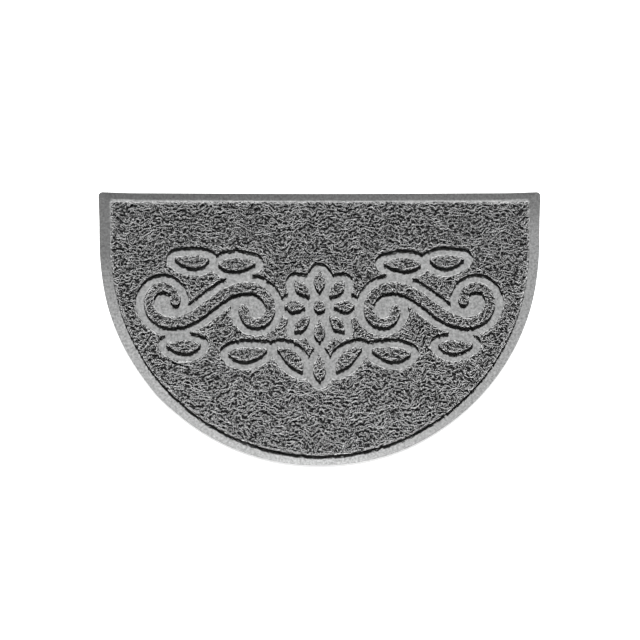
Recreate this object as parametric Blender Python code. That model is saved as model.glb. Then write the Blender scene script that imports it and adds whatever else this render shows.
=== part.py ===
"""Half round doormat of looped vinyl, with a scroll ornament pressed into its pile.

A thin vinyl sheet carries the pile. Round the edge, and in the channels of the
ornament, the pile is pressed away and the smooth sheet shows. What stands
between the channels is as high as the field round it.

The mat lies flat on Z = 0 with its straight edge towards +Y. The origin is the
middle of its underside. Blender 4.5, metres.
"""

import math

import bmesh
import bpy

# The whole mat
WIDTH = 0.750
DEPTH = 0.465
SHEET_THICKNESS = 0.0027
TOTAL_THICKNESS = 0.0120
SEAT_GAP = 0.0003
SHEET_CORNER = 0.0055
SHEET_ROUNDING = 0.0007

# The pile stands in from the edge by these widths of border
BORDER_LEFT = 0.0190
BORDER_RIGHT = 0.0174
BORDER_TOP = 0.0145
BORDER_BOTTOM = 0.0170
PILE_CORNER = 0.0030
PILE_SHOULDER = 0.0013

# The ornament
CHANNEL = 0.0120
CHANNEL_FLARE = 0.0008
CHANNEL_OVERRUN = 0.0020
ROUND_TURN = math.radians(18)
ORNAMENT_Y = 0.040

# Each scroll is a Cornu spiral: its curvature grows evenly from its middle to its ends
SCROLL_HALF_LENGTH = 0.214
SCROLL_END_RADIUS = 0.0177
SCROLL_CENTRE = (0.187, 0.042)
SCROLL_TILT = math.radians(-38)
SCROLL_HALF_STROKE = 0.0105
SCROLL_END_HALF_STROKE = 0.0080
SCROLL_BALL = 0.0105
SCROLL_EYE = 0.0160
SCROLL_STRETCHES = 6
SCROLL_SECTIONS = 72
SCROLL_TAPER = 1.5
BALL_SHARES = (0.02, 0.12, 0.35, 0.68)
TIGHTEST_SIDE = 0.85
STRAIGHT = 1e-6
BALL_STEPS = 28
EYE_STEPS = 20

ROSETTE_DISC = 0.0110
DISC_STEPS = 24
PETALS = 8
PETAL_ROOT = 0.0230
PETAL_LENGTH = 0.0380
PETAL_WIDTH = 0.0215
LEAF_SECTIONS = 10
LEAF_END = 0.0040
LEAF_END_STEPS = 5
LEAF_SKEW = 1.25
LEAF_FULLNESS = 0.72

# Leaves of the right half, which the left half mirrors: root x and y, heading of
# the root in degrees, length, width, and how far the leaf bends in degrees
SIDE_LEAVES = (
    (0.0730, -0.0300, 208, 0.062, 0.025, 30),
    (0.0880, -0.0330, -22, 0.070, 0.026, 34),
    (0.2470, 0.1220, 200, 0.062, 0.024, -36),
    (0.1080, 0.1140, -8, 0.066, 0.024, 12),
    (0.2620, -0.0240, 196, 0.062, 0.024, -30),
)
MIDDLE_LEAF = (0.0, -0.0420, -90, 0.046, 0.024, 0)

# Where the cut edge strays from the true half round: x, y, reach along the edge
# and how far out it strays
EDGE_STRAYS = (
    (-0.375, 0.2325, 0.030, 0.0017),
    (0.375, 0.2325, 0.030, 0.0017),
    (-0.373, 0.1000, 0.045, -0.0008),
    (0.373, 0.1000, 0.045, -0.0008),
    (-0.271, -0.1110, 0.028, 0.0014),
    (0.150, -0.2030, 0.040, 0.0006),
    (0.000, -0.2325, 0.060, -0.0009),
    (0.000, 0.2325, 0.260, -0.0016),
)
ARC_STEPS = 84
TOP_STEPS = 16
SIDE_STEPS = 4
CORNER_STEPS = 3


def half_round(left, right, top, bottom, corner, strays=()):
    """The outline of a half round between these limits, anticlockwise from its upper right corner."""
    radius = (right - left) / 2
    middle_x, middle_y = (left + right) / 2, bottom + radius
    points = []
    for i in range(CORNER_STEPS + 1):
        angle = math.radians(90 * i / CORNER_STEPS)
        out, up = corner * math.cos(angle), corner * math.sin(angle)
        points.append((right - corner + out, top - corner + up))
    for i in range(1, TOP_STEPS):
        points.append((right - corner + (left - right + 2 * corner) * i / TOP_STEPS, top))
    for i in range(CORNER_STEPS + 1):
        angle = math.radians(90 + 90 * i / CORNER_STEPS)
        out, up = corner * math.cos(angle), corner * math.sin(angle)
        points.append((left + corner + out, top - corner + up))
    straight = top - corner - middle_y
    for i in range(1, SIDE_STEPS):
        points.append((left, top - corner - straight * i / SIDE_STEPS))
    for i in range(ARC_STEPS + 1):
        angle = math.pi + math.pi * i / ARC_STEPS
        points.append((middle_x + radius * math.cos(angle), middle_y + radius * math.sin(angle)))
    for i in range(1, SIDE_STEPS):
        points.append((right, middle_y + straight * i / SIDE_STEPS))
    return [strayed(point, normal, strays) for point, normal in zip(points, outward(points))]


def outward(points):
    """The outward unit normal at each point of a closed anticlockwise outline."""
    normals = []
    for i, _ in enumerate(points):
        (x0, y0), (x1, y1) = points[i - 1], points[(i + 1) % len(points)]
        size = math.hypot(x1 - x0, y1 - y0)
        normals.append(((y1 - y0) / size, (x0 - x1) / size))
    return normals


def strayed(point, normal, strays):
    """The point moved along its normal by the strays that reach it."""
    out = sum(
        far * math.exp(-((point[0] - x) ** 2 + (point[1] - y) ** 2) / reach**2)
        for x, y, reach, far in strays
    )
    return point[0] + normal[0] * out, point[1] + normal[1] * out


def grown(points, by):
    """A closed anticlockwise outline moved outwards, or inwards where by is negative."""
    return [(x + nx * by, y + ny * by) for (x, y), (nx, ny) in zip(points, outward(points))]


def channel_round(points):
    """The outline of the channel about a convex piece, with round turns where the piece has a point."""
    wide = []
    for i, (x, y) in enumerate(points):
        (x0, y0), (x1, y1) = points[i - 1], points[(i + 1) % len(points)]
        first = math.atan2(x0 - x, y - y0)
        turn = (math.atan2(x - x1, y1 - y) - first + math.pi) % math.tau - math.pi
        steps = max(1, round(turn / ROUND_TURN))
        for k in range(steps):
            angle = first + turn * (k + 0.5) / steps
            wide.append((x + CHANNEL * math.cos(angle), y + CHANNEL * math.sin(angle)))
    return wide


def scroll_path():
    """Points, headings and curvatures along the scroll, spaced evenly from end to end."""
    step = 2 * SCROLL_HALF_LENGTH / SCROLL_SECTIONS
    half = SCROLL_SECTIONS // 2
    points = [(0.0, 0.0)]
    for i in range(half):
        along = (i + 0.5) * step
        heading = along**2 / (2 * SCROLL_HALF_LENGTH * SCROLL_END_RADIUS)
        x, y = points[-1]
        points.append((x + step * math.cos(heading), y + step * math.sin(heading)))
    points = [(-x, -y) for x, y in reversed(points[1:])] + points
    path = []
    for i, (x, y) in enumerate(points):
        along = (i - half) * step
        heading = along**2 / (2 * SCROLL_HALF_LENGTH * SCROLL_END_RADIUS) + SCROLL_TILT
        curvature = along / (SCROLL_HALF_LENGTH * SCROLL_END_RADIUS)
        turned_x = x * math.cos(SCROLL_TILT) - y * math.sin(SCROLL_TILT)
        turned_y = x * math.sin(SCROLL_TILT) + y * math.cos(SCROLL_TILT)
        centre_x, centre_y = SCROLL_CENTRE
        path.append((centre_x + turned_x, centre_y + turned_y, heading, curvature, along))
    return path


def scroll_half_width(along):
    """Half the stroke's width: it tapers from the middle and swells to a round ball at each end."""
    share = abs(along) / SCROLL_HALF_LENGTH
    stroke = SCROLL_HALF_STROKE + (SCROLL_END_HALF_STROKE - SCROLL_HALF_STROKE) * share**SCROLL_TAPER
    from_ball = abs(along) - (SCROLL_HALF_LENGTH - SCROLL_BALL)
    ball = math.sqrt(max(SCROLL_BALL**2 - from_ball**2, 0.0))
    return ball if from_ball > 0 else max(stroke, ball)


def beside(place, offset):
    """The point that lies offset to the left of a place on the path."""
    x, y, heading = place[:3]
    return x - offset * math.sin(heading), y + offset * math.cos(heading)


def scroll_outline():
    """The scroll's outline, anticlockwise, with the sections of its round ends drawn closer together."""
    path = finer_ends(scroll_path())
    right = [beside(place, -scroll_half_width(place[4])) for place in path[:-1]]
    left = [beside(place, scroll_half_width(place[4])) for place in path[1:]]
    return right + left[::-1]


def finer_ends(path):
    """The path with its first and last sections split, so that the balls come out round."""
    starts, ends = [], []
    for share in BALL_SHARES:
        starts.append(between(path[0], path[1], share))
        ends.append(between(path[-1], path[-2], share))
    return [path[0]] + starts + path[1:-1] + ends[::-1] + [path[-1]]


def between(a, b, share):
    return tuple(p + (q - p) * share for p, q in zip(a, b))


def scroll_stretches():
    """Wide outlines that follow the scroll one after the other, each with its channel on both sides."""
    path = scroll_path()
    count = SCROLL_SECTIONS // SCROLL_STRETCHES
    outlines = []
    for first in range(0, SCROLL_SECTIONS, count):
        left, right = [], []
        for place in path[first : first + count + 1]:
            wide = max(scroll_half_width(place[4]), SCROLL_END_HALF_STROKE) + CHANNEL
            inner = min(wide, TIGHTEST_SIDE / max(abs(place[3]), STRAIGHT))
            left.append(beside(place, inner if place[3] > 0 else wide))
            right.append(beside(place, -(inner if place[3] < 0 else wide)))
        outlines.append(right + left[::-1])
    return outlines


def scroll_eyes():
    """Round outlines at the scroll's two ends: each ball with its channel, and the eye beside it."""
    path = scroll_path()
    back = SCROLL_BALL / (2 * SCROLL_HALF_LENGTH / SCROLL_SECTIONS)
    whole = int(back)
    outlines = []
    for ends, side in ((path, -1), (path[::-1], 1)):
        ball = between(ends[whole], ends[whole + 1], back - whole)
        eye = beside(ends[0], side * SCROLL_END_RADIUS)
        outlines.append(circle(ball[0], ball[1], SCROLL_BALL + CHANNEL, BALL_STEPS))
        outlines.append(circle(eye[0], eye[1], SCROLL_EYE, EYE_STEPS))
    return outlines


def circle(x, y, radius, steps):
    return [
        (x + radius * math.cos(math.tau * i / steps), y + radius * math.sin(math.tau * i / steps))
        for i in range(steps)
    ]


def leaf(x, y, heading, length, width, bend):
    """A leaf that starts narrow at its root, bends along its length and is widest past its middle."""
    run = length - 2 * LEAF_END
    forward = math.radians(heading)
    places = [(x + LEAF_END * math.cos(forward), y + LEAF_END * math.sin(forward))]
    for i in range(LEAF_SECTIONS):
        middle = math.radians(heading + bend * (i + 0.5) / LEAF_SECTIONS)
        x, y = places[-1]
        step = run / LEAF_SECTIONS
        places.append((x + step * math.cos(middle), y + step * math.sin(middle)))
    left, right = [], []
    for i, (x, y) in enumerate(places):
        share = i / LEAF_SECTIONS
        place = (x, y, math.radians(heading + bend * share))
        half = LEAF_END + (width / 2 - LEAF_END) * math.sin(math.pi * share**LEAF_SKEW) ** LEAF_FULLNESS
        left.append(beside(place, half))
        right.append(beside(place, -half))
    root = round_end(places[0], math.radians(heading + 180))
    tip = round_end(places[-1], math.radians(heading + bend))
    return root + right + tip + left[::-1]


def round_end(centre, heading):
    """The points between the two sides of a leaf, round one of its ends."""
    points = []
    for k in range(1, LEAF_END_STEPS):
        angle = heading + math.pi * (k / LEAF_END_STEPS - 0.5)
        points.append((centre[0] + LEAF_END * math.cos(angle), centre[1] + LEAF_END * math.sin(angle)))
    return points


def mirrored(points):
    """The outline's mirror image in the plane X = 0, still anticlockwise."""
    return [(-x, y) for x, y in reversed(points)]


def ornament():
    """Name, outline and channel outlines of each piece of pile that stands free in the channels."""
    pieces = []
    scroll, channels = scroll_outline(), scroll_stretches() + scroll_eyes()
    pieces.append(("scroll_right", scroll, channels))
    pieces.append(("scroll_left", mirrored(scroll), [mirrored(points) for points in channels]))
    for i, values in enumerate(SIDE_LEAVES):
        points = leaf(*values)
        wide = channel_round(points)
        pieces.append((f"leaf_right_{i}", points, [wide]))
        pieces.append((f"leaf_left_{i}", mirrored(points), [mirrored(wide)]))
    points = leaf(*MIDDLE_LEAF)
    pieces.append(("leaf_middle", points, [channel_round(points)]))
    disc = circle(0.0, ORNAMENT_Y, ROSETTE_DISC, DISC_STEPS)
    pieces.append(("rosette_disc", disc, [channel_round(disc)]))
    for i in range(PETALS):
        heading = 90 + 360 * i / PETALS
        x = PETAL_ROOT * math.cos(math.radians(heading))
        y = ORNAMENT_Y + PETAL_ROOT * math.sin(math.radians(heading))
        points = leaf(x, y, heading, PETAL_LENGTH, PETAL_WIDTH, 0)
        pieces.append((f"petal_{i}", points, [channel_round(points)]))
    return pieces


def stacked(name, rings, material=None):
    """A closed body through outlines of equal counts, each with its height, from the lowest up."""
    mesh = bpy.data.meshes.new(name)
    made = bmesh.new()
    levels = [[made.verts.new((x, y, z)) for x, y in points] for points, z in rings]
    count = len(levels[0])
    made.faces.new(levels[0][::-1])
    for low, high in zip(levels, levels[1:]):
        for i in range(count):
            made.faces.new((low[i], low[(i + 1) % count], high[(i + 1) % count], high[i]))
    made.faces.new(levels[-1])
    made.to_mesh(mesh)
    made.free()
    obj = bpy.data.objects.new(name, mesh)
    bpy.context.scene.collection.objects.link(obj)
    if material:
        mesh.materials.append(material)
    return obj


def principled(name, colour, roughness):
    """A plain material of one grey."""
    material = bpy.data.materials.new(name)
    material.use_nodes = True
    shader = material.node_tree.nodes["Principled BSDF"]
    shader.inputs["Base Color"].default_value = (colour, colour, colour, 1.0)
    shader.inputs["Roughness"].default_value = roughness
    shader.inputs["Metallic"].default_value = 0.0
    material.diffuse_color = (colour, colour, colour, 1.0)
    return material


def edge_outline():
    return half_round(-WIDTH / 2, WIDTH / 2, DEPTH / 2, -DEPTH / 2, SHEET_CORNER, EDGE_STRAYS)


def build_sheet(material):
    """The vinyl sheet: its rim is smooth, and rounded a little along its upper edge."""
    outline = edge_outline()
    top = SHEET_THICKNESS
    return stacked(
        "backing_sheet",
        [
            (outline, 0.0),
            (outline, top - SHEET_ROUNDING),
            (grown(outline, -SHEET_ROUNDING), top),
        ],
        material,
    )


def build_pile(material):
    """The field of pile, with the ornament's channels cut right through it to the sheet."""
    outline = half_round(
        -WIDTH / 2 + BORDER_LEFT,
        WIDTH / 2 - BORDER_RIGHT,
        DEPTH / 2 - BORDER_TOP,
        -DEPTH / 2 + BORDER_BOTTOM,
        PILE_CORNER,
    )
    field = stacked("pile_field", pile_rings(outline), material)
    cutters = bpy.data.collections.new("channel_cutters")
    bpy.context.scene.collection.children.link(cutters)
    for name, _, channels in ornament():
        for i, points in enumerate(channels):
            cutters.objects.link(channel_cutter(f"channel_{name}_{i}", points))
    cut = field.modifiers.new("Channels", "BOOLEAN")
    cut.operand_type = "COLLECTION"
    cut.collection = cutters
    cut.operation = "DIFFERENCE"
    cut.solver = "EXACT"
    return field


def pile_rings(outline):
    """The heights of a piece of pile: straight sides and a soft shoulder."""
    return [
        (outline, SHEET_THICKNESS + SEAT_GAP),
        (outline, TOTAL_THICKNESS - PILE_SHOULDER),
        (grown(outline, -PILE_SHOULDER), TOTAL_THICKNESS),
    ]


def channel_cutter(name, points):
    """The space of a channel and what stands in it: it widens a little towards the top."""
    low, high = SHEET_THICKNESS - CHANNEL_OVERRUN, TOTAL_THICKNESS + CHANNEL_OVERRUN
    cutter = stacked(name, [(points, low), (grown(points, CHANNEL_FLARE), high)])
    bpy.context.scene.collection.objects.unlink(cutter)
    cutter.hide_render = True
    cutter.display_type = "WIRE"
    return cutter


def build_ornament(material):
    """The scrolls, leaves, petals and disc that stand free between the channels."""
    return [stacked(name, pile_rings(points), material) for name, points, _ in ornament()]


def centre_all():
    """Moves everything so that the origin is the middle of the cut sheet's box."""
    across, along = zip(*edge_outline())
    middle_x = (min(across) + max(across)) / 2
    middle_y = (min(along) + max(along)) / 2
    for obj in bpy.data.objects:
        obj.location = (-middle_x, -middle_y, 0.0)


def main():
    for old in list(bpy.data.objects):
        bpy.data.objects.remove(old, do_unlink=True)
    vinyl = principled("vinyl_backing", 0.36, 0.5)
    pile = principled("coil_pile", 0.15, 0.6)
    build_sheet(vinyl)
    build_pile(pile)
    build_ornament(pile)
    centre_all()


main()
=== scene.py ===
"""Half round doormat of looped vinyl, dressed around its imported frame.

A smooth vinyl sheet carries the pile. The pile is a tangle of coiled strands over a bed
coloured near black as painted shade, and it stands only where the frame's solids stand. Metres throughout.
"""

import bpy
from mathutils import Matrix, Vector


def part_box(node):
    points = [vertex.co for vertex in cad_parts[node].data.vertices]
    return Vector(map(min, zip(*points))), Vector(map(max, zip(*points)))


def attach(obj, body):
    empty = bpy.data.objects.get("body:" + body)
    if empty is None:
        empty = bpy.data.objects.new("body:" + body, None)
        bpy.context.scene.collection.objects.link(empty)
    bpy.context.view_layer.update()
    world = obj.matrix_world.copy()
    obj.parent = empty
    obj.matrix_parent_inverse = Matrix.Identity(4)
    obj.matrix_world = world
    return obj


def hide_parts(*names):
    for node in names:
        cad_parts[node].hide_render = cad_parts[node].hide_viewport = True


bl_info = {
    "name": "Half round doormat",
    "version": (1, 0, 0),
    "blender": (4, 5, 0),
    "location": "3D View > Sidebar > Doormat",
    "description": "Builds a half round doormat of coiled vinyl strands on a pressed sheet",
    "category": "Object",
}

import math

import bmesh
import bpy
import numpy as np
from mathutils import Vector, noise
from mathutils.bvhtree import BVHTree

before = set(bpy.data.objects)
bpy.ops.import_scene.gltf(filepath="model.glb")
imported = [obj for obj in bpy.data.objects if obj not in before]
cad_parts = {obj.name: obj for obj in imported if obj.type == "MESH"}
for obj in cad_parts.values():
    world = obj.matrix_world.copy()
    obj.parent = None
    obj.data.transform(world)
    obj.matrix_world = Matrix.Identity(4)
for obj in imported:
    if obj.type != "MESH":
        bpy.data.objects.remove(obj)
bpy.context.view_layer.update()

FIELD = ("pile_field",)
SCROLLS = ("scroll_left", "scroll_right")
LEAVES = tuple(sorted(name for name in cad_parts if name.startswith("leaf_")))
ROSETTE = tuple(sorted(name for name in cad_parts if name.startswith(("petal_", "rosette_"))))

SHEET_LOW, SHEET_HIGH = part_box("backing_sheet")
PILE_LOW, PILE_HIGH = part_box("pile_field")
PILE_TOP = PILE_HIGH.z
PILE_FOOT = PILE_LOW.z

# Points of a CAD node nearer than this are one point
MERGE = 1e-6
# A face is flat where its normal rises more than this, and in a wall where it rises less
UPRIGHT = 0.5
# A ray looks down for a solid from this height
HIGH_ABOVE = 1.0

# The strands' own map: tone along U and depth along V, both kept off its edges
BAKE_MAP = "OFBake"
MAP_LOW = 0.02
MAP_HIGH = 0.98

# The sheet: edges flatter than the first angle are dropped, edges sharper than the second are rounded,
# and the border curls up in so many steps
FLAT_EDGE = math.radians(0.5)
SHARP_EDGE = math.radians(45)
RIM_STEPS = 5

# Painted light and shade on the rim: tones from the round side, 0, to the straight side, 1, at the left
# and at the right, painted bright at the round side and dark towards the straight side, a little
# differently at left and right.
# A tone of 1 is TONE_RANGE times the sheet colour. They set in over the first RIM_BLEND of the rim's rise.
TONE_RANGE = 2.0
RIM_BLEND = 0.15
RIM_LEFT_PAINTED_LIGHT = (
    (0.0, 0.88), (0.04, 0.72), (0.2, 0.62), (0.5, 0.54), (0.66, 0.41), (0.78, 0.24), (0.95, 0.21),
)
RIM_RIGHT_PAINTED_LIGHT = (
    (0.0, 0.88), (0.04, 0.68), (0.2, 0.54), (0.5, 0.48), (0.66, 0.43), (0.84, 0.40), (0.95, 0.24),
)

# Painted light on the pile: it is painted brighter towards the round side than towards the straight side,
# over FADE_REACH each way from the middle: in parts of its own colour, and in how far plain strands come
# up to the bright ones
FADE_REACH = 0.15
PILE_PAINTED_LIGHT = (1.10, 0.95)
PLAIN_PAINTED_LIGHT = (0.2, 0.0)

# Parts of the strand colour in a plain strand, in the deepest one and in the lines on the bed, the last
# two painted shade, and the depths in the map between which a strand is painted darker as shade
PLAIN_SHARE = 0.48
DEEP_SHADE_SHARE = 0.03
BED_SHADE_SHARE = 0.06
SHADE_DEPTH_SPAN = (0.05, 0.60)

# Curled marks: how fine they are, how wide, and how fine the mottle is. A mark runs along MARK_LEVEL
# of its noise.
MARK_INPUTS = ("Mark Scale", "Mark Width", "Mottle Scale")
SHEET_MARKS = (150.0, 0.06, 260.0)
BED_MARKS = (210.0, 0.09, 330.0)
FLOOR_MARKS = (8.0, 0.02, 3.0)
MARK_DETAIL = 1.0
MARK_DISTORTION = 0.6
MARK_LEVEL = 0.5
MOTTLE_DETAIL = 4.0
MOTTLE_ROUGHNESS = 0.62

# Brightness of the sheet at the ends of the mottle's span, and beside a mark and on it
MOTTLE_SPAN = (0.25, 0.75)
MOTTLE_TONES = (0.45, 1.55)
MARK_TONES = (1.0, 0.93)
# Part of the floor's colour in its darker patches
FLOOR_SHADE = 0.99

# Roughness and specular level of each finish, and strength and distance of each bump
SHEET_FINISH = (0.42, 0.5)
BED_FINISH = (0.6, 0.3)
STRAND_FINISH = (0.34, 0.5)
FLOOR_FINISH = (0.9, 0.1)
SHEET_BUMP = (0.25, 0.0004)
BED_BUMP = (0.8, 0.0012)

# The Mix node's sockets for a share and two colours, and the one for the mixed colour
MIX_INPUTS = (0, 6, 7)
MIX_RESULT = 2

# How a strand coils: points to a turn, and the part of the way that its centre, and then its radius
# and level, go towards their goals at each point
TURN_STEPS = 7
CATCH_UP = 0.3
DRAW_BACK = 0.15
# Spread of the level's goal, and of the angle by which a loop's high side turns round in a turn
WANDER = 0.0007
LEAN_TURN = 1.2
# A strand may curl the other way where the cosine of its angle is above AHEAD, by this chance
AHEAD = 0.7
FLIP_CHANCE = 0.25

# How rows wander: the way of each slide in degrees, the most that it moves a point, the distance
# over which it changes, and how far rows start outside their solid
STRAY_WAYS = (90, 15, -50)
STRAY = 0.0080
STRAY_REACH = 0.018
STRAY_ROOM = 0.012
# Noise is nought where its three coordinates are whole numbers, so one is kept between them
OFF_WHOLE = 0.5

# How a row lies in its solid: the part of a push off the wall that a point takes up, the most by which
# its edge frays inwards, the part of its dip that is slow sinking, and the second layer's depth
PUSH_FOLLOWS = 0.6
EDGE_FRAY = 0.0016
SINK = 0.25
UNDER_LAYER = 0.0012
# Values to a turn of a strand's tone, sinking and fraying
TONE_KNOTS = 4
SINK_KNOTS = 3
FRAY_KNOTS = 1

# Loops in the walls: least and greatest radius in parts of half the height that they have, their
# middle in parts of that height, and how far they stay under the top of the pile
WALL_LOOPS = (0.80, 1.15)
WALL_MIDDLE = 0.43
WALL_CLEAR = 0.0011
# How far they lean in as they rise, how much further in they lie at most, in parts of a strand's
# radius, and their depth in the map at the foot, which paints them darker there as shade
WALL_LEAN = 0.10
WALL_DEPTH = 2.6
WALL_SHADE = 0.42
# Heights at which the distance from a wall and its line are taken
WALL_QUERY = 0.0100
WALL_CUT = 0.0070

# How a strand is cleaned: rounds of smoothing, the least distance between points, the cosine of the
# sharpest bend, and a number of points that a strand has to pass
SMOOTHINGS = 2
CROWDED = 0.0003
SHARPEST = 0.2
LEAST_POINTS = 5
# A strand is a tube of three sides, on a circle so much larger than the round strand's
STRAND_SIDES = 3
TRIANGLE_FULLNESS = 1.21
# Most points in a piece, or a strand more
POINTS_A_PIECE = 30000
# How far the bed goes down past the foot of the solids
FOOT_SINK = 0.0006
# Seeds of the random draws
SEEDS = {"field": 11, "scroll": 12, "leaf": 13, "rosette": 14}

# The stage: how far the floor reaches each way, the view's middle, and the sensor's width in millimetres
FLOOR_REACH = 8.0
VIEW_MIDDLE = (0.0009, 0.0148)
SENSOR_WIDTH = 36.0


class SheetSettings(bpy.types.PropertyGroup):
    """The pressed vinyl sheet"""

    rim_lift: bpy.props.FloatProperty(
        name="Rim lift",
        description="How far the outer edge of the border curls up from the flat",
        default=0.0016,
        min=0.0,
        max=0.005,
        unit="LENGTH",
    )
    border_sides: bpy.props.FloatProperty(
        name="Side border",
        description="Width of the bare border that curls up at the sides",
        default=0.0205,
        min=0.005,
        max=0.05,
        unit="LENGTH",
    )
    border_straight: bpy.props.FloatProperty(
        name="Straight border",
        description="Width of the bare border that curls up at the straight side",
        default=0.0125,
        min=0.005,
        max=0.05,
        unit="LENGTH",
    )
    border_round: bpy.props.FloatProperty(
        name="Round border",
        description="Width of the bare border that curls up at the round side",
        default=0.0170,
        min=0.005,
        max=0.05,
        unit="LENGTH",
    )
    rounding: bpy.props.FloatProperty(
        name="Edge rounding",
        description="How far the sheet's cut edge is rounded",
        default=0.0006,
        min=0.0001,
        max=0.0012,
        unit="LENGTH",
    )
    colour: bpy.props.FloatVectorProperty(
        name="Sheet colour",
        description="Colour of the smooth pressed vinyl",
        subtype="COLOR",
        size=3,
        default=(0.292, 0.294, 0.293),
        min=0.0,
        max=1.0,
    )


class StrandSettings(bpy.types.PropertyGroup):
    """The coiled strands of the pile"""

    strand: bpy.props.FloatProperty(
        name="Strand",
        description="Thickness of one vinyl strand",
        default=0.00115,
        min=0.0005,
        max=0.003,
        unit="LENGTH",
    )
    loop_small: bpy.props.FloatProperty(
        name="Smallest loop",
        description="Radius of the tightest loops",
        default=0.0016,
        min=0.001,
        max=0.006,
        unit="LENGTH",
    )
    loop_large: bpy.props.FloatProperty(
        name="Largest loop",
        description="Radius of the widest loops",
        default=0.0025,
        min=0.001,
        max=0.008,
        unit="LENGTH",
    )
    row_gap: bpy.props.FloatProperty(
        name="Row gap",
        description="Distance between one strand's run and the next",
        default=0.0035,
        min=0.002,
        max=0.02,
        unit="LENGTH",
    )
    advance: bpy.props.FloatProperty(
        name="Advance",
        description="How far a strand gets along with each loop",
        default=0.0030,
        min=0.002,
        max=0.02,
        unit="LENGTH",
    )
    lift: bpy.props.FloatProperty(
        name="Lift",
        description="How far a loop's high side rises above its middle",
        default=0.0023,
        min=0.0,
        max=0.003,
        unit="LENGTH",
    )
    # The bed is coloured dark as painted shade, and this depth also sets how fast the strands' painted
    # shade deepens
    bed_depth: bpy.props.FloatProperty(
        name="Bed depth",
        description="How deep the dark tangle lies under the top of the pile",
        default=0.0055,
        min=0.001,
        max=0.007,
        unit="LENGTH",
    )
    # The strands' brightest colour; the depth in their map paints them darker below it as shade
    colour: bpy.props.FloatVectorProperty(
        name="Strand colour",
        description="Colour of the strands at the top of the pile",
        subtype="COLOR",
        size=3,
        default=(0.90, 0.902, 0.901),
        min=0.0,
        max=1.0,
    )
    # Painted shade: the bed is coloured near black where the tangle lies in shade
    shade: bpy.props.FloatVectorProperty(
        name="Bed colour",
        description="Colour deep in the tangle",
        subtype="COLOR",
        size=3,
        default=(0.022, 0.022, 0.023),
        min=0.0,
        max=1.0,
    )


class StageSettings(bpy.types.PropertyGroup):
    """Camera, light and floor"""

    camera_height: bpy.props.FloatProperty(
        name="Camera height",
        description="Height of the camera above the mat",
        default=2.6,
        min=0.5,
        max=10.0,
        unit="LENGTH",
    )
    view_width: bpy.props.FloatProperty(
        name="View width",
        description="Width of floor that the picture takes in",
        default=1.0899,
        min=0.1,
        max=5.0,
        unit="LENGTH",
    )
    key_power: bpy.props.FloatProperty(
        name="Key light",
        description="Power of the main light",
        default=1110.0,
        min=0.0,
        max=5000.0,
        unit="POWER",
    )
    key_distance: bpy.props.FloatProperty(
        name="Key distance",
        description="How far the main light is from the mat",
        default=8.0,
        min=1.0,
        max=30.0,
        unit="LENGTH",
    )
    key_size: bpy.props.FloatProperty(
        name="Key size",
        description="Width of the main light, which softens its shadows",
        default=0.8,
        min=0.05,
        max=5.0,
        unit="LENGTH",
    )
    key_elevation: bpy.props.FloatProperty(
        name="Key elevation",
        description="Angle of the main light above the floor",
        default=math.radians(45),
        min=0.0,
        max=math.pi / 2,
        subtype="ANGLE",
    )
    sky: bpy.props.FloatProperty(
        name="Sky light",
        description="Strength of the even light from all round",
        default=0.022,
        min=0.0,
        max=5.0,
    )
    backdrop: bpy.props.FloatProperty(
        name="Backdrop",
        description="How bright the empty room looks beyond the floor",
        default=1.0,
        min=0.0,
        max=5.0,
    )
    floor_colour: bpy.props.FloatVectorProperty(
        name="Floor colour",
        description="Colour of the plain floor",
        subtype="COLOR",
        size=3,
        default=(0.90, 0.90, 0.90),
        min=0.0,
        max=1.0,
    )
    floor_glow: bpy.props.FloatProperty(
        name="Floor glow",
        description="Light that the floor gives off, as a light table does",
        default=0.85,
        min=0.0,
        max=2.0,
    )


def linked(obj):
    """The object, put in the scene."""
    bpy.context.scene.collection.objects.link(obj)
    return obj


def mesh_object(name, made, material):
    """A new piece from a finished bmesh, which is freed."""
    mesh = bpy.data.meshes.new(name)
    made.to_mesh(mesh)
    made.free()
    mesh.materials.append(material)
    return linked(bpy.data.objects.new(name, mesh))


def merged_copy(node):
    """A bmesh of a CAD node with its loose triangles joined."""
    made = bmesh.new()
    made.from_mesh(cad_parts[node].data)
    bmesh.ops.remove_doubles(made, verts=made.verts, dist=MERGE)
    made.normal_update()
    return made


def grey_mix(tree, share, a, b):
    """A colour between two, by a share. The colours are sockets or three numbers."""
    mix = tree.nodes.new("ShaderNodeMix")
    mix.data_type = "RGBA"
    for place, value in zip(MIX_INPUTS, (share, a, b)):
        if isinstance(value, bpy.types.NodeSocket):
            tree.links.new(value, mix.inputs[place])
        else:
            mix.inputs[place].default_value = (*value, 1.0)
    return mix.outputs[MIX_RESULT]


def math_node(tree, operation, a, b=None, clamp=False):
    """One sum, whose terms are numbers or sockets."""
    node = tree.nodes.new("ShaderNodeMath")
    node.operation = operation
    node.use_clamp = clamp
    for socket, value in zip(node.inputs, (a, b)):
        if isinstance(value, bpy.types.NodeSocket):
            tree.links.new(value, socket)
        elif value is not None:
            socket.default_value = value
    return node.outputs[0]


def mapped(tree, value, low, high, to_low, to_high):
    """A value stretched from one range to another, and held there."""
    node = tree.nodes.new("ShaderNodeMapRange")
    node.clamp = True
    tree.links.new(value, node.inputs["Value"])
    for name, number in zip(("From Min", "From Max", "To Min", "To Max"), (low, high, to_low, to_high)):
        node.inputs[name].default_value = number
    return node.outputs["Result"]


def parted(tree, vector):
    """The three numbers of a vector."""
    node = tree.nodes.new("ShaderNodeSeparateXYZ")
    tree.links.new(vector, node.inputs[0])
    return node.outputs["X"], node.outputs["Y"], node.outputs["Z"]


def scaled(tree, colour, share):
    """A colour times a number."""
    node = tree.nodes.new("ShaderNodeVectorMath")
    node.operation = "SCALE"
    tree.links.new(colour, node.inputs[0])
    tree.links.new(share, node.inputs["Scale"])
    return node.outputs[0]


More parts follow.
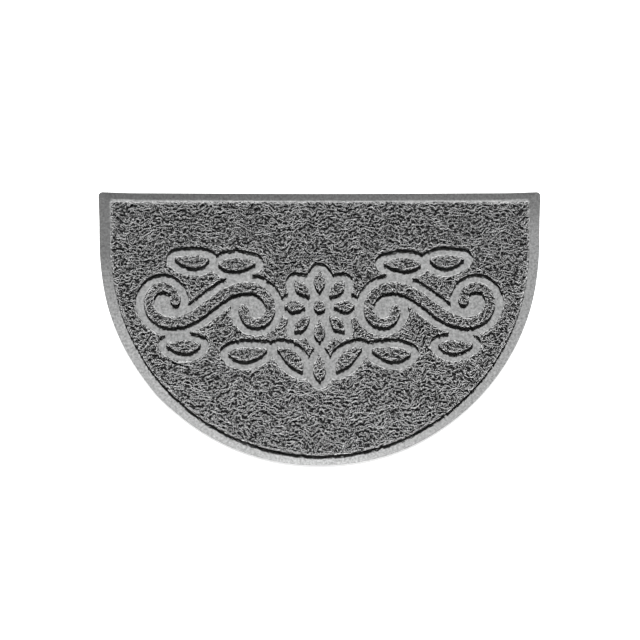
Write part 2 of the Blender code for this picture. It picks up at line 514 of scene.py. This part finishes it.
def vinyl_marks():
    """Node group: curled marks and a soft mottle."""
    found = bpy.data.node_groups.get("vinyl_marks")
    if found:
        return found
    tree = bpy.data.node_groups.new("vinyl_marks", "ShaderNodeTree")
    tree.interface.new_socket("Vector", in_out="INPUT", socket_type="NodeSocketVector")
    for name, value in zip(MARK_INPUTS, SHEET_MARKS):
        socket = tree.interface.new_socket(name, in_out="INPUT", socket_type="NodeSocketFloat")
        socket.default_value = value
    for name in ("Marks", "Mottle"):
        tree.interface.new_socket(name, in_out="OUTPUT", socket_type="NodeSocketFloat")
    given = tree.nodes.new("NodeGroupInput")
    out = tree.nodes.new("NodeGroupOutput")
    curls = tree.nodes.new("ShaderNodeTexNoise")
    tree.links.new(given.outputs["Vector"], curls.inputs["Vector"])
    tree.links.new(given.outputs["Mark Scale"], curls.inputs["Scale"])
    curls.inputs["Detail"].default_value = MARK_DETAIL
    curls.inputs["Distortion"].default_value = MARK_DISTORTION
    off_level = math_node(tree, "ABSOLUTE", math_node(tree, "SUBTRACT", curls.outputs["Fac"], MARK_LEVEL))
    share = math_node(tree, "DIVIDE", off_level, given.outputs["Mark Width"], clamp=True)
    marks = math_node(tree, "SUBTRACT", 1.0, share, clamp=True)
    cloud = tree.nodes.new("ShaderNodeTexNoise")
    tree.links.new(given.outputs["Vector"], cloud.inputs["Vector"])
    tree.links.new(given.outputs["Mottle Scale"], cloud.inputs["Scale"])
    cloud.inputs["Detail"].default_value = MOTTLE_DETAIL
    cloud.inputs["Roughness"].default_value = MOTTLE_ROUGHNESS
    tree.links.new(marks, out.inputs["Marks"])
    tree.links.new(cloud.outputs["Fac"], out.inputs["Mottle"])
    return tree


def marks_in(tree, values):
    """The marks and the mottle in a material, and the Object coordinates that they read."""
    place = tree.nodes.new("ShaderNodeTexCoord").outputs["Object"]
    group = tree.nodes.new("ShaderNodeGroup")
    group.node_tree = vinyl_marks()
    tree.links.new(place, group.inputs["Vector"])
    for name, value in zip(MARK_INPUTS, values):
        group.inputs[name].default_value = value
    return group.outputs["Marks"], group.outputs["Mottle"], place


def new_material(name, finish):
    """A material with a plain shader of one finish, its node tree and the shader."""
    material = bpy.data.materials.new(name)
    material.use_nodes = True
    tree = material.node_tree
    shader = tree.nodes["Principled BSDF"]
    for socket, value in zip(("Roughness", "Specular IOR Level"), finish):
        shader.inputs[socket].default_value = value
    return material, tree, shader


def bumped(tree, shader, height, bump_values):
    """A bump from a height."""
    bump = tree.nodes.new("ShaderNodeBump")
    for socket, value in zip(("Strength", "Distance"), bump_values):
        bump.inputs[socket].default_value = value
    tree.links.new(height, bump.inputs["Height"])
    tree.links.new(bump.outputs["Normal"], shader.inputs["Normal"])


def tone_ramp(tree, along, tones):
    """Greys that change along a value, from pairs of a place and a tone."""
    ramp = tree.nodes.new("ShaderNodeValToRGB")
    tree.links.new(along, ramp.inputs[0])
    stops = ramp.color_ramp.elements
    stops.remove(stops[1])
    for i, (where, tone) in enumerate(tones):
        stop = stops.new(where) if i else stops[0]
        stop.color = (tone, tone, tone, 1.0)
    return ramp.outputs[0]


def sheet_material(settings):
    """Pressed vinyl, mottled, with faint curled marks. Its rim is painted with light and shade: brighter
    at the round side and darker towards the straight side.
    """
    material, tree, shader = new_material("pressed_vinyl", SHEET_FINISH)
    marks, mottle, place = marks_in(tree, SHEET_MARKS)
    across, up, _ = parted(tree, place)
    along = mapped(tree, up, SHEET_LOW.y, SHEET_HIGH.y, 0.0, 1.0)
    aside = mapped(tree, across, SHEET_LOW.x / 2, SHEET_HIGH.x / 2, 0.0, 1.0)
    # Painted light and shade on the rim, from its left and right tones
    sides = grey_mix(tree, aside, tone_ramp(tree, along, RIM_LEFT_PAINTED_LIGHT), tone_ramp(tree, along, RIM_RIGHT_PAINTED_LIGHT))
    rim = tree.nodes.new("ShaderNodeAttribute")
    rim.attribute_name = "rim"
    on_rim = mapped(tree, rim.outputs["Fac"], 0.0, RIM_BLEND, 0.0, 1.0)
    painted_rim_light = grey_mix(tree, on_rim, (1.0 / TONE_RANGE,) * 3, sides)
    mottled = mapped(tree, mottle, *MOTTLE_SPAN, *MOTTLE_TONES)
    marked = mapped(tree, marks, 0.0, 1.0, *MARK_TONES)
    share = math_node(tree, "MULTIPLY", math_node(tree, "MULTIPLY", mottled, marked), TONE_RANGE)
    tinted = tree.nodes.new("ShaderNodeVectorMath")
    tinted.operation = "MULTIPLY"
    tree.links.new(painted_rim_light, tinted.inputs[0])
    tinted.inputs[1].default_value = tuple(settings.colour)
    tree.links.new(scaled(tree, tinted.outputs[0], share), shader.inputs["Base Color"])
    bumped(tree, shader, math_node(tree, "ADD", mottle, marks), SHEET_BUMP)
    return material


def bed_material(settings):
    """The deep tangle in painted shade: near black, with strands painted a little lighter that show as
    curled lines.
    """
    material, tree, shader = new_material("tangle_painted_shade", BED_FINISH)
    marks, mottle, _ = marks_in(tree, BED_MARKS)
    dark = tuple(settings.shade)
    light = tuple(BED_SHADE_SHARE * c for c in settings.colour)
    both = math_node(tree, "MULTIPLY", marks, mottle)
    tree.links.new(grey_mix(tree, both, dark, light), shader.inputs["Base Color"])
    bumped(tree, shader, marks, BED_BUMP)
    return material


def strand_material(settings):
    """Strand vinyl, toned by U of the strand's own map, with painted shade by V, its depth, and painted
    light that brightens it towards the round side.
    """
    material, tree, shader = new_material("strand_vinyl", STRAND_FINISH)
    own = tree.nodes.new("ShaderNodeUVMap")
    own.uv_map = BAKE_MAP
    tone, depth, _ = parted(tree, own.outputs["UV"])
    bright = tuple(settings.colour)
    plain = tuple(PLAIN_SHARE * c for c in bright)
    deep = tuple(DEEP_SHADE_SHARE * c for c in bright)
    place = tree.nodes.new("ShaderNodeTexCoord")
    _, up, _ = parted(tree, place.outputs["Object"])
    # Painted light: the pile is painted brighter towards the round side
    lift = mapped(tree, up, -FADE_REACH, FADE_REACH, *PLAIN_PAINTED_LIGHT)
    painted_light_fade = mapped(tree, up, -FADE_REACH, FADE_REACH, *PILE_PAINTED_LIGHT)
    lifted = grey_mix(tree, lift, grey_mix(tree, tone, plain, bright), bright)
    # Painted shade: a strand is painted darker the deeper it lies
    depth_shade = mapped(tree, depth, *SHADE_DEPTH_SPAN, 0.0, 1.0)
    tree.links.new(grey_mix(tree, depth_shade, scaled(tree, lifted, painted_light_fade), deep), shader.inputs["Base Color"])
    return material


def floor_material(settings):
    """A pale floor with faint patches, lit a little from within."""
    material, tree, shader = new_material("plain_floor", FLOOR_FINISH)
    _, mottle, _ = marks_in(tree, FLOOR_MARKS)
    pale = tuple(settings.floor_colour)
    dimmer = tuple(FLOOR_SHADE * c for c in pale)
    tone = grey_mix(tree, mottle, dimmer, pale)
    tree.links.new(tone, shader.inputs["Base Color"])
    tree.links.new(tone, shader.inputs["Emission Color"])
    shader.inputs["Emission Strength"].default_value = settings.floor_glow
    return material


class PileSpace:
    """The space of one solid of pile, and how far a point is from its walls."""

    def __init__(self, node):
        self.low, self.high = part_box(node)
        made = merged_copy(node)
        self.solid = BVHTree.FromBMesh(made)
        flat = [face for face in made.faces if abs(face.normal.z) > UPRIGHT]
        bmesh.ops.delete(made, geom=flat, context="FACES")
        self.walls = BVHTree.FromBMesh(made)
        made.free()

    def reach(self, x, y, z=WALL_QUERY):
        """The distance from the wall, negative outside, and the unit vector inwards."""
        wall, normal, _, far = self.walls.find_nearest((x, y, z))
        inside = self.solid.ray_cast((x, y, HIGH_ABOVE), (0, 0, -1))[0] is not None
        if far < MERGE:
            return 0.0, (-normal.x, -normal.y)
        sign = 1 if inside else -1
        return sign * far, (sign * (x - wall.x) / far, sign * (y - wall.y) / far)

    def outline_loops(self, node):
        """The closed lines round the solid at one height, each a list of points."""
        made = merged_copy(node)
        cut = bmesh.ops.bisect_plane(
            made,
            geom=made.verts[:] + made.edges[:] + made.faces[:],
            plane_co=(0, 0, WALL_CUT),
            plane_no=(0, 0, 1),
            clear_inner=True,
            clear_outer=True,
        )
        left = set(part for part in cut["geom_cut"] if isinstance(part, bmesh.types.BMVert))
        loops = []
        while left:
            start = min(left, key=lambda vert: (vert.co.x, vert.co.y))
            loop, here = [], start
            while here is not None:
                loop.append(here.co.copy())
                left.discard(here)
                beyond = [edge.other_vert(here) for edge in here.link_edges]
                here = next((vert for vert in beyond if vert in left), None)
            loops.append(loop)
        made.free()
        return loops


def coil_line(rng, start, end, middle, radii, settings):
    """One strand along a row: for each point its centre, its way out from it and how far it dips.

    The strand goes round a centre that moves on by one advance a turn. Now and then it
    passes on to a new centre ahead and curls the other way there.
    """
    spin = rng.choice((-1, 1))
    angle = rng.uniform(0, math.tau)
    radius = goal = rng.uniform(*radii)
    across, up = start, middle
    target, aside = start, 0.0
    lean, turn = rng.uniform(0, math.tau), 0.0
    points = []
    step = 0
    while across < end:
        if step % TURN_STEPS == 0:
            goal, aside = rng.uniform(*radii), rng.normal(0, WANDER)
            turn = rng.normal(0, LEAN_TURN)
        step += 1
        angle += spin * math.tau / TURN_STEPS
        target += settings.advance / TURN_STEPS
        across += max(0.0, target - across) * CATCH_UP
        up += (middle + aside - up) * DRAW_BACK
        radius += (goal - radius) * DRAW_BACK
        lean += turn / TURN_STEPS
        dip = (1 - math.sin(angle + lean)) / 2
        points.append((across, up, radius * math.cos(angle), radius * math.sin(angle), dip))
        if math.cos(angle) > AHEAD and across < target + radius and rng.random() < FLIP_CHANCE:
            across += 2 * radius * math.cos(angle)
            up += 2 * radius * math.sin(angle)
            angle += math.pi
            lean += math.pi
            spin = -spin
            target += radius / 2
    return points


def strayed(x, y):
    """A point of a row moved as the rows wander over the mat.

    Each move slides the mat along one way by an amount that varies only across that way,
    so the rows bend strongly and yet stay equally crowded.
    """
    for way in STRAY_WAYS:
        along_x, along_y = math.cos(math.radians(way)), math.sin(math.radians(way))
        across = (y * along_x - x * along_y) / STRAY_REACH
        slide = STRAY * noise.noise((across, way, OFF_WHOLE))
        x, y = x + slide * along_x, y + slide * along_y
    return x, y


def smooth_noise(rng, count, knots_a_turn):
    """Values from 0 to 1 that vary smoothly along a strand."""
    knots = rng.random(count * knots_a_turn // TURN_STEPS + 2)
    return np.interp(np.arange(count) * knots_a_turn / TURN_STEPS, np.arange(len(knots)), knots)


def kept(strand):
    """The strand smoothed, without crowded points, and cut where it would fold sharply."""
    points = np.array(strand)
    for _ in range(SMOOTHINGS):
        points[1:-1] = (points[:-2] + 2 * points[1:-1] + points[2:]) / 4
    parts, part = [], [points[0]]
    for point in points[1:]:
        ahead = point[:3] - part[-1][:3]
        far = np.linalg.norm(ahead)
        if far < CROWDED:
            continue
        if len(part) > 1:
            behind = part[-1][:3] - part[-2][:3]
            if ahead @ behind < SHARPEST * far * np.linalg.norm(behind):
                parts.append(part)
                part = []
        part.append(point)
    parts.append(part)
    return [part for part in parts if len(part) > LEAST_POINTS]


def row_strands(space, rng, settings, under=0.0):
    """The coiled strands that fill the top of one solid, row by row, or a layer under them.

    Rows run past the solid. Points well outside it are left out, and loops that would
    cross its wall are pushed in.
    """
    half = settings.strand / 2
    top = PILE_TOP - half - under
    radii = (settings.loop_small, settings.loop_large)
    rows = math.ceil((space.high.y - space.low.y + 2 * STRAY_ROOM) / settings.row_gap) + 1
    first = (space.high.y + space.low.y) / 2 - (rows - 1) * settings.row_gap / 2
    strands = []
    for row in range(rows):
        middle = first + row * settings.row_gap
        start = space.low.x - STRAY_ROOM - settings.advance * rng.random()
        line = coil_line(rng, start, space.high.x + STRAY_ROOM, middle, radii, settings)
        sinks = smooth_noise(rng, len(line), SINK_KNOTS)
        tones = smooth_noise(rng, len(line), TONE_KNOTS)
        frays = half + EDGE_FRAY * smooth_noise(rng, len(line), FRAY_KNOTS)
        strand = []
        push_x = push_y = 0.0
        for (centre_x, centre_y, out_x, out_y, dip), sink, tone, fray in zip(line, sinks, tones, frays):
            centre_x, centre_y = strayed(centre_x, centre_y)
            near, inward = space.reach(centre_x, centre_y)
            if near < -settings.row_gap / 2:
                if len(strand) > LEAST_POINTS:
                    strands += kept(strand)
                strand = []
                continue
            push = max(0.0, math.hypot(out_x, out_y) + fray - near)
            follow = PUSH_FOLLOWS if strand else 1.0
            push_x += (push * inward[0] - push_x) * follow
            push_y += (push * inward[1] - push_y) * follow
            x, y = centre_x + push_x + out_x, centre_y + push_y + out_y
            if push > 0 or push_x or push_y:
                near, inward = space.reach(x, y)
                if near < half:
                    x, y = x + (half - near) * inward[0], y + (half - near) * inward[1]
            z = top - 2 * (settings.lift - under / 2) * ((1 - SINK) * dip + SINK * sink)
            # The last value is the depth in the map, by which the strand is painted darker as shade; the
            # under layer is painted darker still
            strand.append((x, y, z, tone, (PILE_TOP - half - z + under) / settings.bed_depth))
        if len(strand) > LEAST_POINTS:
            strands += kept(strand)
    return strands


def wall_strands(space, node, rng, settings):
    """Strands whose loops stand in the walls of one solid."""
    half = settings.strand / 2
    low, high = PILE_FOOT + half, PILE_TOP - half - WALL_CLEAR
    radii = tuple(share * (high - low) / 2 for share in WALL_LOOPS)
    strands = []
    for loop in space.outline_loops(node):
        ring = np.array([point[:2] for point in loop + loop[:1]])
        along = np.concatenate(([0], np.cumsum(np.hypot(*np.diff(ring, axis=0).T))))
        length = along[-1]
        line = coil_line(rng, 0.0, length, low + WALL_MIDDLE * (high - low), radii, settings)
        depths = smooth_noise(rng, len(line), SINK_KNOTS)
        tones = smooth_noise(rng, len(line), TONE_KNOTS)
        strand = []
        for (centre, level, out, rise, _), depth, tone in zip(line, depths, tones):
            where, z = centre + out, min(max(level + rise, low), high)
            x = np.interp(where % length, along, ring[:, 0])
            y = np.interp(where % length, along, ring[:, 1])
            _, normal, _, _ = space.walls.find_nearest((x, y, WALL_CUT))
            back = half * (1 + WALL_DEPTH * depth) + WALL_LEAN * (z - low)
            # Painted shade: the depth in the map grows towards the wall's foot
            deep = (PILE_TOP - z) / (PILE_TOP - PILE_FOOT)
            strand.append((x - normal.x * back, y - normal.y * back, z, tone, WALL_SHADE * deep))
        strands += kept(strand)
    return strands


def strand_nodes(material):
    """Geometry Nodes that turn lines into closed strands, with their tone and depth as a map."""
    name = "strand_tubes"
    tree = bpy.data.node_groups.get(name)
    if tree:
        return tree
    tree = bpy.data.node_groups.new(name, "GeometryNodeTree")
    tree.interface.new_socket("Geometry", in_out="INPUT", socket_type="NodeSocketGeometry")
    tree.interface.new_socket("Strand", in_out="INPUT", socket_type="NodeSocketFloat")
    tree.interface.new_socket("Geometry", in_out="OUTPUT", socket_type="NodeSocketGeometry")
    given = tree.nodes.new("NodeGroupInput")
    out = tree.nodes.new("NodeGroupOutput")
    line = tree.nodes.new("GeometryNodeMeshToCurve")
    profile = tree.nodes.new("GeometryNodeCurvePrimitiveCircle")
    profile.inputs["Resolution"].default_value = STRAND_SIDES
    radius = math_node(tree, "MULTIPLY", given.outputs["Strand"], 0.5 * TRIANGLE_FULLNESS)
    tube = tree.nodes.new("GeometryNodeCurveToMesh")
    tube.inputs["Fill Caps"].default_value = True
    smooth = tree.nodes.new("GeometryNodeSetShadeSmooth")
    tone, depth = (tree.nodes.new("GeometryNodeInputNamedAttribute") for _ in range(2))
    tone.inputs["Name"].default_value = "tone"
    depth.inputs["Name"].default_value = "depth"
    pair = tree.nodes.new("ShaderNodeCombineXYZ")
    store = tree.nodes.new("GeometryNodeStoreNamedAttribute")
    store.data_type = "FLOAT2"
    store.domain = "CORNER"
    store.inputs["Name"].default_value = BAKE_MAP
    paint = tree.nodes.new("GeometryNodeSetMaterial")
    paint.inputs["Material"].default_value = material
    link = tree.links.new
    link(given.outputs["Geometry"], line.inputs[0])
    link(line.outputs[0], tube.inputs["Curve"])
    link(radius, profile.inputs["Radius"])
    link(profile.outputs["Curve"], tube.inputs["Profile Curve"])
    link(tube.outputs[0], smooth.inputs[0])
    link(smooth.outputs[0], store.inputs["Geometry"])
    link(tone.outputs[0], pair.inputs["X"])
    link(depth.outputs[0], pair.inputs["Y"])
    link(pair.outputs[0], store.inputs["Value"])
    link(store.outputs[0], paint.inputs["Geometry"])
    link(paint.outputs[0], out.inputs[0])
    return tree


def strand_piece(name, strands, material, settings):
    """One piece of strands: lines first, then closed tubes along them."""
    made = bmesh.new()
    tone = made.verts.layers.float.new("tone")
    depth = made.verts.layers.float.new("depth")
    for strand in strands:
        last = None
        for x, y, z, shade, deep in strand:
            vert = made.verts.new((x, y, z))
            vert[tone] = min(max(shade, MAP_LOW), MAP_HIGH)
            vert[depth] = min(max(deep, MAP_LOW), MAP_HIGH)
            if last is not None:
                made.edges.new((last, vert))
            last = vert
    obj = mesh_object(name, made, material)
    tubes = obj.modifiers.new("Tubes", "NODES")
    tubes.node_group = strand_nodes(material)
    strand = next(item for item in tubes.node_group.interface.items_tree if item.name == "Strand")
    tubes[strand.identifier] = settings.strand
    shown = obj.evaluated_get(bpy.context.evaluated_depsgraph_get())
    mesh = bpy.data.meshes.new_from_object(shown)
    obj.modifiers.clear()
    old = obj.data
    obj.data = mesh
    bpy.data.meshes.remove(old)
    mesh.name = name
    return obj


def bed(name, nodes, material, settings):
    """The tangle under the strands, which its material paints dark as shade: the solids drawn in by a
    strand and lowered.
    """
    made = bmesh.new()
    for node in nodes:
        made.from_mesh(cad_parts[node].data)
    bmesh.ops.remove_doubles(made, verts=made.verts, dist=MERGE)
    made.normal_update()
    middle = (PILE_TOP + PILE_FOOT) / 2
    moves = {}
    for vert in made.verts:
        across = Vector((0, 0, 0))
        for face in vert.link_faces:
            if abs(face.normal.z) < UPRIGHT:
                across += face.normal * face.calc_area()
        across.z = 0
        if across.length > 0:
            moves[vert] = across.normalized() * -settings.strand
    for vert in made.verts:
        vert.co += moves.get(vert, Vector((0, 0, 0)))
        vert.co.z += -settings.bed_depth if vert.co.z > middle else -FOOT_SINK
    obj = mesh_object(name, made, material)
    own = obj.data.attributes.get("custom_normal")
    if own:
        obj.data.attributes.remove(own)
    return obj


def finish_piece(obj, slot, *nodes):
    """Rides on the mat and stands for its nodes. Its slot is not used."""
    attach(obj, "root")
    if nodes:
        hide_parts(*nodes)


def coiled(label, nodes, scene):
    """Bed and strands of like solids of pile, the strands in as many pieces as they need."""
    settings = scene.mat_strands
    vinyl = bpy.data.materials.get("strand_vinyl") or strand_material(settings)
    deep = bpy.data.materials.get("tangle_painted_shade") or bed_material(settings)
    finish_piece(bed(f"{label}_bed", nodes, deep, settings), "coil_pile", *nodes)
    rng = np.random.default_rng(SEEDS[label])
    strands = []
    for node in nodes:
        space = PileSpace(node)
        strands += row_strands(space, rng, settings)
        strands += wall_strands(space, node, rng, settings)
        if node not in FIELD:
            strands += row_strands(space, rng, settings, UNDER_LAYER)
    total = sum(len(strand) for strand in strands)
    share = total / math.ceil(total / POINTS_A_PIECE)
    parts, part, size = [], [], 0
    for strand in strands:
        part.append(strand)
        size += len(strand)
        if size >= share:
            parts.append(part)
            part, size = [], 0
    if part:
        parts.append(part)
    for number, part in enumerate(parts):
        finish_piece(strand_piece(f"{label}_strands_{number}", part, vinyl, settings), "coil_pile")


class MAT_OT_sheet(bpy.types.Operator):
    """Press the vinyl sheet with its bare border"""

    bl_idname = "mat.sheet"
    bl_label = "Vinyl sheet"

    def execute(self, context):
        settings = context.scene.mat_sheet
        source = merged_copy("backing_sheet")
        flat = [edge for edge in source.edges if edge.calc_face_angle(0.0) < FLAT_EDGE]
        bmesh.ops.dissolve_edges(source, edges=flat, use_verts=False)
        under = min(source.faces, key=lambda face: face.calc_center_median().z)
        outline = [vert.co.copy() for vert in under.verts]
        source.free()
        made = bmesh.new()
        rim = made.verts.layers.float.new("rim")
        edge_top = SHEET_HIGH.z + settings.rim_lift
        ring = [made.verts.new((point.x, point.y, edge_top)) for point in outline]
        for vert in ring:
            vert[rim] = 1.0
        top = made.faces.new(ring)
        made.normal_update()
        if top.normal.z < 0:
            top.normal_flip()
        middle = (settings.border_round + settings.border_straight) / 2
        widths = Vector((settings.border_sides, middle, 0)) / RIM_STEPS
        shift = (settings.border_round - middle) / RIM_STEPS
        for step in range(RIM_STEPS):
            bmesh.ops.inset_individual(made, faces=[top], thickness=0.0, depth=0.0)
            outer, inner = SHEET_HIGH - step * widths, SHEET_HIGH - (step + 1) * widths
            bmesh.ops.scale(made, vec=(inner.x / outer.x, inner.y / outer.y, 1), verts=top.verts[:])
            bmesh.ops.translate(made, verts=top.verts[:], vec=(0, shift, -settings.rim_lift / RIM_STEPS))
            for vert in top.verts:
                vert[rim] = 1 - (step + 1) / RIM_STEPS
        grown = bmesh.ops.extrude_face_region(made, geom=made.faces[:])
        under = [part for part in grown["geom"] if isinstance(part, bmesh.types.BMVert)]
        bmesh.ops.translate(made, verts=under, vec=(0, 0, SHEET_LOW.z - SHEET_HIGH.z))
        bmesh.ops.recalc_face_normals(made, faces=made.faces)
        edges = [edge for edge in made.edges if edge.calc_face_angle(0.0) > SHARP_EDGE]
        bmesh.ops.bevel(
            made,
            geom=edges,
            offset=settings.rounding,
            affect="EDGES",
            segments=3,
            profile=0.5,
            material=-1,
        )
        obj = mesh_object("vinyl_sheet", made, sheet_material(settings))
        finish_piece(obj, "vinyl_backing", "backing_sheet")
        return {"FINISHED"}


class MAT_OT_field(bpy.types.Operator):
    """Coil the strands of the field of pile"""

    bl_idname = "mat.field"
    bl_label = "Field of pile"

    def execute(self, context):
        coiled("field", FIELD, context.scene)
        return {"FINISHED"}


class MAT_OT_scrolls(bpy.types.Operator):
    """Coil the strands of the two scrolls"""

    bl_idname = "mat.scrolls"
    bl_label = "Scrolls"

    def execute(self, context):
        coiled("scroll", SCROLLS, context.scene)
        return {"FINISHED"}


class MAT_OT_leaves(bpy.types.Operator):
    """Coil the strands of the leaves"""

    bl_idname = "mat.leaves"
    bl_label = "Leaves"

    def execute(self, context):
        coiled("leaf", LEAVES, context.scene)
        return {"FINISHED"}


class MAT_OT_rosette(bpy.types.Operator):
    """Coil the strands of the rosette's petals and disc"""

    bl_idname = "mat.rosette"
    bl_label = "Rosette"

    def execute(self, context):
        coiled("rosette", ROSETTE, context.scene)
        return {"FINISHED"}


class MAT_OT_stage(bpy.types.Operator):
    """Set the floor, the lights and the camera"""

    bl_idname = "mat.stage"
    bl_label = "Stage"

    def execute(self, context):
        scene = context.scene
        settings = scene.mat_stage
        scene.view_settings.view_transform = "Standard"
        made = bmesh.new()
        bmesh.ops.create_grid(made, x_segments=1, y_segments=1, size=FLOOR_REACH)
        floor = mesh_object("floor", made, floor_material(settings))
        world = bpy.data.worlds.new("even_sky")
        world.use_nodes = True
        sky = world.node_tree.nodes["Background"]
        sky.inputs["Color"].default_value = (1.0, 1.0, 1.0, 1.0)
        rays = world.node_tree.nodes.new("ShaderNodeLightPath")
        seen = rays.outputs["Is Camera Ray"]
        glow = mapped(world.node_tree, seen, 0.0, 1.0, settings.sky, settings.backdrop)
        world.node_tree.links.new(glow, sky.inputs["Strength"])
        scene.world = world
        key = bpy.data.lights.new("key", "AREA")
        key.shape = "DISK"
        key.size = settings.key_size
        key.energy = settings.key_power
        lamp = linked(bpy.data.objects.new("key", key))
        far = settings.key_distance
        rise = settings.key_elevation
        lamp.location = (0.0, far * math.cos(rise), far * math.sin(rise))
        lamp.rotation_euler = (-lamp.location).to_track_quat("-Z", "Y").to_euler()
        view = bpy.data.cameras.new("straight_down")
        view.sensor_width = SENSOR_WIDTH
        view.lens = view.sensor_width * settings.camera_height / settings.view_width
        camera = linked(bpy.data.objects.new("straight_down", view))
        camera.location = (*VIEW_MIDDLE, settings.camera_height + SHEET_HIGH.z)
        scene.camera = camera
        return {"FINISHED"}


class MAT_PT_panel(bpy.types.Panel):
    """The doormat's settings and steps"""

    bl_idname = "MAT_PT_panel"
    bl_label = "Half round doormat"
    bl_space_type = "VIEW_3D"
    bl_region_type = "UI"
    bl_category = "Doormat"

    def draw(self, context):
        layout = self.layout
        for group in (context.scene.mat_sheet, context.scene.mat_strands, context.scene.mat_stage):
            box = layout.box()
            for name in group.__annotations__:
                box.prop(group, name)
        for operator in OPERATORS:
            layout.operator(operator.bl_idname)


SETTINGS = {"mat_sheet": SheetSettings, "mat_strands": StrandSettings, "mat_stage": StageSettings}
OPERATORS = (MAT_OT_sheet, MAT_OT_field, MAT_OT_scrolls, MAT_OT_leaves, MAT_OT_rosette, MAT_OT_stage)
CLASSES = (*SETTINGS.values(), *OPERATORS, MAT_PT_panel)


def register():
    for cls in CLASSES:
        bpy.utils.register_class(cls)
    for name, group in SETTINGS.items():
        setattr(bpy.types.Scene, name, bpy.props.PointerProperty(type=group))


def unregister():
    for name in SETTINGS:
        delattr(bpy.types.Scene, name)
    for cls in reversed(CLASSES):
        bpy.utils.unregister_class(cls)


def main():
    register()
    bpy.ops.mat.sheet()
    bpy.ops.mat.field()
    bpy.ops.mat.scrolls()
    bpy.ops.mat.leaves()
    bpy.ops.mat.rosette()
    bpy.ops.mat.stage()


if __name__ == "__main__":
    main()
